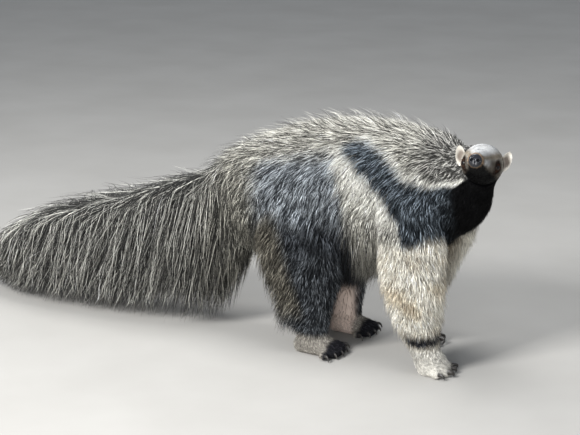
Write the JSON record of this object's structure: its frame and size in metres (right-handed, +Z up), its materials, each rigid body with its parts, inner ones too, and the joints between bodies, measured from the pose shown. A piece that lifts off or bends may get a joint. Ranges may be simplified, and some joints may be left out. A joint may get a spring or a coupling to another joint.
{
  "type": "giant anteater",
  "caption": "Still, life-size giant anteater standing on four feet, head turned to its right, with a long bushy tail whose hair hangs to the floor.",
  "frame": {"origin": "On the floor, under the middle of the object's bounding box", "axes": "+X forward, from the tail towards the chest; +Y the animal's left; +Z up"},
  "size_m": [1.6637, 0.5047, 0.6276],
  "materials": {
    "dark_coat": "long coarse dark grey to black hair with pale tips",
    "pale_coat": "short coarse cream to grey hair, ticked",
    "bare_skin": "thin matte grey-brown skin with very short hair",
    "nose_leather": "moist black nose pad, satin",
    "eye_gloss": "dark brown-black wet eye",
    "claw_horn": "dark grey worn horn, satin"
  },
  "bodies": {
    "root": {"tail_base": "dark_coat", "tail_middle": "dark_coat", "tail_end": "dark_coat", "torso": "dark_coat", "hind_leg_left": "dark_coat", "hind_leg_right": "dark_coat", "hind_paw_left": "dark_coat", "hind_paw_right": "dark_coat", "neck": "pale_coat", "head": "pale_coat", "fore_leg_left": "pale_coat", "fore_leg_right": "pale_coat", "fore_paw_left": "pale_coat", "fore_paw_right": "pale_coat", "ear_left": "bare_skin", "ear_right": "bare_skin", "nose": "nose_leather", "eye_left": "eye_gloss", "eye_right": "eye_gloss", "fore_claw_left_1": "claw_horn", "fore_claw_left_2": "claw_horn", "fore_claw_left_3": "claw_horn", "fore_claw_left_4": "claw_horn", "hind_claw_left_1": "claw_horn", "hind_claw_left_2": "claw_horn", "hind_claw_left_3": "claw_horn", "hind_claw_left_4": "claw_horn", "hind_claw_left_5": "claw_horn", "fore_claw_right_1": "claw_horn", "fore_claw_right_2": "claw_horn", "fore_claw_right_3": "claw_horn", "fore_claw_right_4": "claw_horn", "hind_claw_right_1": "claw_horn", "hind_claw_right_2": "claw_horn", "hind_claw_right_3": "claw_horn", "hind_claw_right_4": "claw_horn", "hind_claw_right_5": "claw_horn"}
  },
  "joints": []
}
